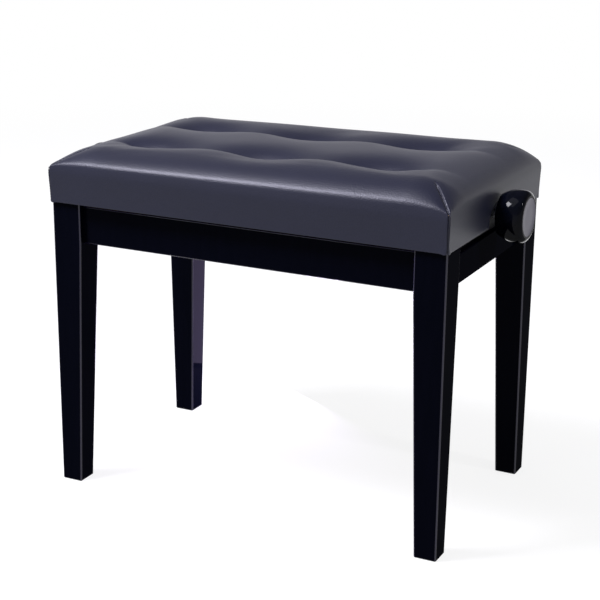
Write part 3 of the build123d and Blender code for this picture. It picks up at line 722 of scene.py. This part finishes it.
def cushion_cage(cushion):
    """Mesh of the cushion: top, sides and the lip turned under, open inside the lip."""
    xs = spaced(cushion.half_x, GRID_STEP)
    ys = spaced(cushion.half_y, GRID_STEP)
    build = bmesh.new()
    top = top_sheet(build, xs, ys, cushion.top_point)
    rim = ring_around(len(xs) - 1, len(ys) - 1)
    levels = [[top[spot] for spot in rim]]

    def ring(out, z):
        grow_x = 1 + out / cushion.half_x
        grow_y = 1 + out / cushion.half_y
        levels.append([build.verts.new((xs[i] * grow_x, ys[j] * grow_y, z)) for i, j in rim])

    for row in range(1, SIDE_ROWS):
        z = cushion.edge_z - SIDE_HEIGHT * row / SIDE_ROWS
        ring(cushion.outward(z), z)
    ring(0, cushion.bottom + LIP_FOLD)
    for inset in (0, LIP_FOLD, LIP_WIDTH):
        ring(-inset, cushion.bottom)
    wall(build, levels)
    return finished_mesh(build, "seat_leather")


def held(place, cushion):
    """How firmly the leather is held at a place: the boards, edges and tufts hold it."""
    rim = min(cushion.half_x - abs(place.x), cushion.half_y - abs(place.y))
    if place.z < cushion.edge_z - 2 * MM or rim < HELD_RIM:
        return 1.0
    hold = 1 - smooth((rim - HELD_RIM) / HELD_FADE)
    for centre_x, centre_y in cushion.hollow_centres():
        away = math.hypot(place.x - centre_x, place.y - centre_y)
        hold = max(hold, 1 - smooth(away / HELD_TUFT))
    return hold


def cloth_places(piece):
    """Where the vertices end up when the cover is blown up as a cloth."""
    cloth = piece.modifiers.new("Cloth", "CLOTH")
    cloth.settings.quality = 5
    cloth.settings.mass = 0.3
    cloth.settings.tension_stiffness = 25
    cloth.settings.compression_stiffness = 25
    cloth.settings.shear_stiffness = 10
    cloth.settings.bending_stiffness = 2.0
    cloth.settings.use_pressure = True
    cloth.settings.uniform_pressure_force = PUFF_PRESSURE
    cloth.settings.vertex_group_mass = "held"
    cloth.settings.effector_weights.gravity = 0
    cloth.collision_settings.use_collision = False
    cloth.point_cache.frame_end = PUFF_FRAMES
    scene = bpy.context.scene
    for frame_number in range(1, PUFF_FRAMES + 1):
        scene.frame_set(frame_number)
    evaluated = piece.evaluated_get(bpy.context.evaluated_depsgraph_get())
    places = [vertex.co.copy() for vertex in evaluated.data.vertices]
    piece.modifiers.remove(cloth)
    scene.frame_set(1)
    return places


def puff(piece, cushion):
    """Blow the leather up a little over its foam and keep the result."""
    vertices = piece.data.vertices
    group = piece.vertex_groups.new(name="held")
    for vertex in vertices:
        group.add([vertex.index], held(vertex.co, cushion), "REPLACE")
    moves = [end - vertex.co for vertex, end in zip(vertices, cloth_places(piece))]
    moves = [move * min(1.0, PUFF_LIMIT / max(move.length, 0.001 * MM)) for move in moves]
    for _ in range(PUFF_EVENING):
        sums = [move.copy() for move in moves]
        counts = [1] * len(moves)
        for edge in piece.data.edges:
            first, second = edge.vertices
            sums[first] += moves[second]
            sums[second] += moves[first]
            counts[first] += 1
            counts[second] += 1
        moves = [total / count for total, count in zip(sums, counts)]
    for vertex, move in zip(vertices, moves):
        vertex.co += move
    piece.vertex_groups.clear()


def close_underside(piece):
    """Close the opening inside the lip with one face, so that the notches can be cut."""
    with mesh_of(piece) as build:
        rim = [edge for edge in build.edges if edge.is_boundary]
        bmesh.ops.holes_fill(build, edges=rim, sides=0)


def open_underside(piece, cushion):
    """Take away the underside inside the lip, and the filling seen in the notches."""

    open_x = cushion.half_x - LIP_WIDTH
    open_y = cushion.half_y - LIP_WIDTH

    def inside_lip(face):
        middle = face.calc_center_median()
        low = all(vertex.co.z < cushion.bottom + 0.1 * MM for vertex in face.verts)
        return low and abs(middle.x) < open_x and abs(middle.y) < open_y

    def in_notch(face):
        radii = [math.hypot(vertex.co.y, vertex.co.z - cushion.bottom) for vertex in face.verts]
        return all(abs(radius - NOTCH_RADIUS) < 0.05 * MM for radius in radii)

    with mesh_of(piece) as build:
        unwanted = [face for face in build.faces if inside_lip(face) or in_notch(face)]
        bmesh.ops.delete(build, geom=unwanted, context="FACES")


def refine_folds(piece, cushion):
    """Finer mesh along the four darts and at the tufts."""

    def near(vertex):
        place = vertex.co
        along, across = cushion.fold_place(place.x, place.y)
        if place.z > cushion.edge_z - DART_RUN and along < DART_LENGTH and abs(across) < DART_FINE_WIDTH:
            return True
        if place.z < cushion.edge_z:
            return False
        return any(
            abs(place.x - centre_x) < PULL_FINE_LENGTH and abs(place.y - centre_y) < PULL_FINE_WIDTH
            for centre_x, centre_y in cushion.hollow_centres()
        )

    with mesh_of(piece) as build:
        close = [edge for edge in build.edges if near(edge.verts[0]) and near(edge.verts[1])]
        bmesh.ops.subdivide_edges(build, edges=close, cuts=2, use_grid_fill=True)


def press_hollows(piece, cushion):
    """Pull the top down at the tufts."""
    for vertex in piece.data.vertices:
        if vertex.co.z > cushion.edge_z:
            fade = smooth((vertex.co.z - cushion.edge_z) / HOLLOW_FADE)
            vertex.co.z -= fade * cushion.hollows(vertex.co.x, vertex.co.y)
            vertex.co.z -= fade * cushion.pulls(vertex.co.x, vertex.co.y)


def press_folds(piece, cushion):
    """Fold the leather in along the four darts."""
    for vertex in piece.data.vertices:
        along, across = cushion.fold_place(vertex.co.x, vertex.co.y)
        if along > DART_LENGTH or abs(across) > 3 * DART_DIP_HALF_WIDTH:
            continue
        fade = smooth((DART_LENGTH - along) / (0.3 * DART_LENGTH))
        fade *= smooth(1 + (vertex.co.z - cushion.edge_z) / DART_RUN)
        near_corner = smooth(along / (4 * MM))
        crease = DART_DEPTH * bell(across, DART_HALF_WIDTH)
        dip = DART_DIP * bell(across, DART_DIP_HALF_WIDTH)
        lap = DART_LAP * bell(across - DART_LAP_PLACE, DART_LAP_HALF_WIDTH)
        vertex.co.z -= fade * (crease + near_corner * (dip - lap))


def shape_corners(piece, cushion):
    """Draw in the seam down each corner and gather the leather at its foot."""
    for vertex in piece.data.vertices:
        place = vertex.co
        from_end = cushion.half_x - abs(place.x)
        from_side = cushion.half_y - abs(place.y)
        away = max(from_end, from_side)
        if place.z > cushion.edge_z + 2 * MM or min(from_end, from_side) > 1 * MM or away > 15 * MM:
            continue
        pull = CORNER_SEAM_DEPTH * bell(away, CORNER_SEAM_HALF_WIDTH)
        low = smooth((cushion.bottom + PUCKER_HEIGHT - place.z) / PUCKER_HEIGHT)
        gather = low * bell(away - PUCKER_PLACE, PUCKER_HALF_WIDTH)
        place.x -= math.copysign(pull, place.x)
        place.y -= math.copysign(pull, place.y)
        if from_end < from_side:
            place.x += math.copysign(PUCKER_OUT * gather, place.x)
        else:
            place.y += math.copysign(PUCKER_OUT * gather, place.y)
        place.z -= PUCKER_DROP * gather


def notch_cutter(cushion):
    """Round bar through both ends, as wide as the notches."""
    build = bmesh.new()
    radius = NOTCH_RADIUS
    length = 3 * cushion.half_x
    bmesh.ops.create_cone(build, cap_ends=True, segments=96, radius1=radius, radius2=radius, depth=length)
    bmesh.ops.rotate(build, verts=build.verts, matrix=Matrix.Rotation(math.pi / 2, 3, "Y"))
    bmesh.ops.translate(build, verts=build.verts, vec=(0, 0, cushion.bottom))
    return placed("notch_cutter", finished_mesh(build, "notch_cutter"))


def cut_notches(piece, cushion):
    """Half-round openings at both ends, for the shaft."""
    tool = notch_cutter(cushion)
    boolean = piece.modifiers.new("Notches", "BOOLEAN")
    boolean.operation = "DIFFERENCE"
    boolean.solver = "EXACT"
    boolean.object = tool
    apply_modifiers(piece)
    bpy.data.objects.remove(tool)


def make_leather(cushion, material):
    """The leather cover: puffed over the foam, folded at the corners, turned under the boards."""
    piece = new_object("seat_leather", cushion_cage(cushion), material)
    puff(piece, cushion)
    fine = piece.modifiers.new("Fine", "SUBSURF")
    fine.levels = 1
    fine.render_levels = 1
    apply_modifiers(piece)
    close_underside(piece)
    cut_notches(piece, cushion)
    open_underside(piece, cushion)
    refine_folds(piece, cushion)
    press_hollows(piece, cushion)
    press_folds(piece, cushion)
    shape_corners(piece, cushion)
    skin = piece.modifiers.new("Skin", "SOLIDIFY")
    skin.thickness = LEATHER_THICKNESS
    skin.offset = -1
    apply_modifiers(piece)
    shade_smooth(piece.data)
    return piece


def stitches(name, line, material):
    """Row of short stitches along a line of points."""
    build = bmesh.new()
    travelled = 0.0
    due = 0.5 * STITCH_PITCH
    for start, end in zip(line, line[1:]):
        step = (end - start).length
        while travelled + step > due:
            centre = start.lerp(end, (due - travelled) / step)
            turn = (end - start).to_track_quat("Z", "X").to_matrix().to_4x4()
            size = Matrix.Diagonal((STITCH_RADIUS, STITCH_RADIUS, STITCH_LENGTH / 2, 1))
            bmesh.ops.create_uvsphere(
                build, u_segments=10, v_segments=8, radius=1, matrix=Matrix.Translation(centre) @ turn @ size
            )
            due += STITCH_PITCH
        travelled += step
    return new_object(name, finished_mesh(build, name), material)


def dart_points(cushion, tree, sx, sy, count=30):
    """Points at the bottom of one corner's dart, from its inner end out to the corner."""
    points = []
    for index in range(count, 0, -1):
        along = 0.96 * DART_LENGTH * index / count
        x = sx * (cushion.half_x - along * DART_TURN[0])
        y = sy * (cushion.half_y - along * DART_TURN[1])
        hit, normal, _, _ = tree.ray_cast(Vector((x, y, cushion.edge_z + 0.2)), Vector((0, 0, -1)))
        if hit is not None:
            points.append(hit - normal * 0.1 * MM)
    return points


def corner_points(cushion, sx, sy, count=16):
    """Points down one corner's upright seam."""
    points = []
    for index in range(count + 1):
        z = cushion.edge_z - 1 * MM + (cushion.bottom + 3 * MM - cushion.edge_z) * index / count
        reach = cushion.outward(z) - CORNER_SEAM_DEPTH + 0.3 * MM
        points.append(Vector((sx * (cushion.half_x + reach), sy * (cushion.half_y + reach), z)))
    return points


def make_seams(cushion, leather, material):
    """One stitched seam for each corner: along its dart and down the corner."""
    tree = BVHTree.FromObject(leather, bpy.context.evaluated_depsgraph_get())
    seams = []
    for name, sx, sy in CORNERS:
        dart = tube("dart", dart_points(cushion, tree, sx, sy), SEAM_RADIUS, material)
        upright = corner_points(cushion, sx, sy)
        cord = tube("cord", upright, 0.7 * SEAM_RADIUS, material)
        row = stitches("row", upright, material)
        seams.append(join(f"corner_seam_{name}", [dart, cord, row]))
    return seams


def make_bindings(cushion, material):
    """Leather turned into the half-round notches at both ends."""
    bindings = []
    steps = 48
    for side, sx in LEFT_RIGHT:
        inner = NOTCH_RADIUS - BINDING_THICKNESS
        corner = 0.3 * BINDING_THICKNESS
        outside = sx * (cushion.half_x + BINDING_OVERLAP)
        inside = sx * (cushion.half_x - BINDING_DEPTH)
        rounded = outside - sx * 0.4 * BINDING_THICKNESS
        profile = [(inside, NOTCH_RADIUS), (rounded, NOTCH_RADIUS), (outside, NOTCH_RADIUS - corner)]
        profile += [(outside, inner + corner), (rounded, inner), (inside, inner)]
        build = bmesh.new()
        rings = []
        for step in range(steps + 1):
            angle = math.pi * step / steps
            rings.append(
                [
                    build.verts.new((x, radius * math.cos(angle), cushion.bottom + radius * math.sin(angle)))
                    for x, radius in profile
                ]
            )
        wall(build, rings)
        build.faces.new(rings[0])
        build.faces.new(rings[-1])
        name = f"notch_binding_{side}"
        bindings.append(new_object(name, finished_mesh(build, name), material))
    return bindings


def make_foam(cushion, material):
    """Foam between the seat board and the leather."""
    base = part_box("seat_foam")[0].z
    xs = spaced(cushion.half_x - FOAM_INSET - SIDE_BULGE, FOAM_STEP)
    ys = spaced(cushion.half_y - FOAM_INSET - SIDE_BULGE, FOAM_STEP)
    stretch_x = 1.004
    stretch_y = 1.006

    def top_place(x, y):
        along, across = cushion.fold_place(x, y)
        past_end = smooth((DART_LENGTH + FOAM_RELIEF_RUN - along) / FOAM_RELIEF_FADE)
        under_dart = FOAM_RELIEF * bell(across, FOAM_RELIEF_HALF_WIDTH) * past_end
        height = cushion.height(x * stretch_x, y * stretch_y) - FOAM_INSET - under_dart
        return (x, y, max(height, base + 0.4 * MM))

    build = bmesh.new()
    top = top_sheet(build, xs, ys, top_place)
    rim = ring_around(len(xs) - 1, len(ys) - 1)
    floor = [build.verts.new((xs[i], ys[j], base)) for i, j in rim]
    wall(build, [[top[spot] for spot in rim], floor])
    build.faces.new(floor)
    return new_object("foam_pad", finished_mesh(build, "foam_pad"), material)


# ================================================================ knobs
def make_caps(materials):
    """Dished silver discs with a bright rolled rim, one in each knob."""
    caps = []
    for side, sx in LEFT_RIGHT:
        low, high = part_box(f"knob_cap_{side}")
        face_x = high.x if sx > 0 else low.x
        back_x = low.x if sx > 0 else high.x
        radius = (high.z - low.z) / 2
        centre_z = (high.z + low.z) / 2
        half_rim = 0.5 * CAP_RIM
        dish_x = face_x - sx * CAP_DISH
        profile = [(back_x, 0), (back_x, radius), (face_x - sx * half_rim, radius)]
        for turn in (30, 60, 90, 120, 150):
            angle = math.radians(turn)
            edge_x = face_x - sx * half_rim * (1 - math.sin(angle))
            profile.append((edge_x, radius - half_rim * (1 - math.cos(angle))))
        profile += [(dish_x, radius - 1.3 * CAP_RIM), (dish_x, radius * 0.5), (dish_x, 0)]
        cap = lathe(f"cap_disc_{side}", profile, centre_z, materials["knob_cap"])
        caps.append(cap)
    return caps


# ================================================================ stage
def seen_directly(tree):
    """1 for camera, glossy and transmission rays, 0 for the rest."""
    path = add_node(tree, "ShaderNodeLightPath")
    seen = path.outputs["Is Camera Ray"]
    for kind in ("Is Glossy Ray", "Is Transmission Ray"):
        either = add_node(tree, "ShaderNodeMath", operation="MAXIMUM")
        tree.links.new(seen, either.inputs[0])
        tree.links.new(path.outputs[kind], either.inputs[1])
        seen = either.outputs[0]
    return seen


def blend(tree, factor, first, second):
    """Shader between two others."""
    mix = add_node(tree, "ShaderNodeMixShader")
    for socket, source in zip(mix.inputs, (factor, first, second)):
        tree.links.new(source, socket)
    return mix.outputs[0]


def floor_material():
    """Pale floor with a faint shadow, white far away; from below it is open, to show the underside."""
    material = bpy.data.materials.new("studio_floor")
    material.use_nodes = True
    tree = material.node_tree
    tree.nodes.clear()
    link = tree.links.new
    grey = (FLOOR_PAINT, FLOOR_PAINT, FLOOR_PAINT, 1)
    paint = add_node(tree, "ShaderNodeBsdfDiffuse", {"Color": grey})
    lift = add_node(tree, "ShaderNodeMath", {1: FLOOR_LIFT}, operation="MULTIPLY")
    link(seen_directly(tree), lift.inputs[0])
    glow = add_node(tree, "ShaderNodeEmission")
    link(lift.outputs[0], glow.inputs["Strength"])
    near = add_node(tree, "ShaderNodeAddShader")
    link(paint.outputs[0], near.inputs[0])
    link(glow.outputs[0], near.inputs[1])

    place = add_node(tree, "ShaderNodeTexCoord")
    length = add_node(tree, "ShaderNodeVectorMath", operation="LENGTH")
    link(place.outputs["Object"], length.inputs[0])
    ends = {"From Min": FLOOR_SHADOW_RADIUS, "From Max": FLOOR_WHITE_RADIUS}
    fade = add_node(tree, "ShaderNodeMapRange", ends, interpolation_type="SMOOTHSTEP")
    link(length.outputs["Value"], fade.inputs["Value"])
    far = add_node(tree, "ShaderNodeMath", operation="MULTIPLY")
    link(fade.outputs["Result"], far.inputs[0])
    link(seen_directly(tree), far.inputs[1])
    white = add_node(tree, "ShaderNodeEmission")
    from_above = blend(tree, far.outputs[0], near.outputs[0], white.outputs[0])

    side = add_node(tree, "ShaderNodeNewGeometry")
    clear = add_node(tree, "ShaderNodeBsdfTransparent")
    output = add_node(tree, "ShaderNodeOutputMaterial")
    link(blend(tree, side.outputs["Backfacing"], from_above, clear.outputs[0]), output.inputs["Surface"])
    return material


def make_floor():
    """Wide white floor."""
    mesh_data = bpy.data.meshes.new("floor")
    build = bmesh.new()
    bmesh.ops.create_circle(build, cap_ends=True, segments=64, radius=FLOOR_RADIUS)
    build.to_mesh(mesh_data)
    build.free()
    floor = placed("floor", mesh_data)
    floor.location.z = -FLOOR_DROP
    mesh_data.materials.append(floor_material())


def make_world():
    """Soft room light; a white horizon and a greyer wall above it for what is seen or reflected."""
    world = bpy.data.worlds.new("studio")
    world.use_nodes = True
    tree = world.node_tree
    tree.nodes.clear()
    link = tree.links.new
    room = add_node(
        tree, "ShaderNodeBackground", {"Color": (0.93, 0.94, 1.0, 1), "Strength": ROOM_LEVEL}
    )
    wall_light = add_node(tree, "ShaderNodeBackground", {"Color": (0.97, 0.96, 1.0, 1)})
    direction = add_node(tree, "ShaderNodeTexCoord")
    split = add_node(tree, "ShaderNodeSeparateXYZ")
    link(direction.outputs["Generated"], split.inputs["Vector"])
    ends = {"From Min": HORIZON_HEIGHT, "From Max": WALL_HEIGHT, "To Min": 1.0, "To Max": WALL_LEVEL}
    height = add_node(tree, "ShaderNodeMapRange", ends, interpolation_type="SMOOTHSTEP")
    link(split.outputs["Z"], height.inputs["Value"])
    link(height.outputs["Result"], wall_light.inputs["Strength"])
    output = add_node(tree, "ShaderNodeOutputWorld")
    shown = blend(tree, seen_directly(tree), room.outputs[0], wall_light.outputs[0])
    link(shown, output.inputs["Surface"])
    bpy.context.scene.world = world


def area_light(name, place, target, size, watts, colour=(1, 1, 1)):
    """Rectangular lamp at place, turned to target."""
    lamp = bpy.data.lights.new(name, "AREA")
    lamp.shape = "RECTANGLE"
    lamp.size = size[0]
    lamp.size_y = size[1]
    lamp.energy = watts
    lamp.color = colour
    holder = placed(name, lamp)
    holder.location = place
    holder.rotation_mode = "QUATERNION"
    holder.rotation_quaternion = (Vector(target) - Vector(place)).to_track_quat("-Z", "Y")
    return holder


def make_lights():
    """Softbox overhead, key in front, low fill, a small bright lamp and a strip for the left back leg."""
    seat = (0, 0, 0.42)
    area_light("softbox", (-0.45, -0.55, 2.2), seat, (1.2, 1.2), 10, (0.93, 0.92, 1.0))
    area_light("key", (-1.0, -0.85, 2.15), seat, (0.8, 0.6), 92, (0.93, 0.92, 1.0))
    area_light("front_fill", (-1.3, -2.6, 0.9), (0, 0, 0.3), (0.7, 0.9), 4, (0.92, 0.94, 1.0))
    area_light("spark", (2.2, 0.0, 1.9), seat, (0.16, 0.16), 12)
    back_leg = (-0.22, 0.12, 0.165)
    strip = area_light("low_strip", (-0.12, 0.3, 0.125), back_leg, (0.1, 0.24), 2.3, (0.74, 0.6, 1.0))
    strip.visible_camera = False


def make_camera():
    """Camera at the viewing angle of the photograph."""
    yaw = math.radians(CAMERA_YAW)
    pitch = math.radians(CAMERA_PITCH)
    roll_angle = math.radians(CAMERA_ROLL)
    forward = Vector((-math.sin(yaw) * math.cos(pitch), math.cos(yaw) * math.cos(pitch), -math.sin(pitch)))
    right = Vector((math.cos(yaw), math.sin(yaw), 0))
    up = right.cross(forward)
    turned_right = math.cos(roll_angle) * right + math.sin(roll_angle) * up
    turned_up = math.cos(roll_angle) * up - math.sin(roll_angle) * right
    lens = bpy.data.cameras.new("camera")
    lens.lens = CAMERA_LENS
    lens.sensor_width = SENSOR_WIDTH
    lens.clip_start = 0.05
    lens.clip_end = 60
    turned = Matrix((turned_right, turned_up, -forward)).transposed().to_4x4()
    turned.translation = CAMERA_PLACE
    camera = placed("camera", lens)
    camera.matrix_world = turned
    bpy.context.scene.camera = camera


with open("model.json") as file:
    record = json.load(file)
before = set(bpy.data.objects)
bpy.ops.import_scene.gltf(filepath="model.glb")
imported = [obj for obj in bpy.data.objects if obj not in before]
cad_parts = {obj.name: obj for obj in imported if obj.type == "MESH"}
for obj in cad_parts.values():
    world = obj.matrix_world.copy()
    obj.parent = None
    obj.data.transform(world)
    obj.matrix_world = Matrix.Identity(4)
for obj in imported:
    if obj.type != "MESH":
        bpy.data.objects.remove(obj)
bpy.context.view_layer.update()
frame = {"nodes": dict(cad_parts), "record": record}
materials = make_materials()
dress_nodes(frame, materials)

cushion = Cushion()
leather = make_leather(cushion, materials["leather"])
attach(leather, "seat")
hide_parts("leather_cover")

foam = make_foam(cushion, materials["foam"])
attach(foam, "seat")
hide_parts("seat_foam")

for seam in make_seams(cushion, leather, materials["thread"]):
    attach(seam, "seat")

for binding in make_bindings(cushion, materials["leather"]):
    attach(binding, "seat")

for cap in make_caps(materials):
    side = cap.name.split("_")[-1]
    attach(cap, "screw")
    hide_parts(f"knob_cap_{side}")

make_floor()
make_world()
make_lights()
make_camera()
bpy.context.scene.view_settings.view_transform = "Standard"
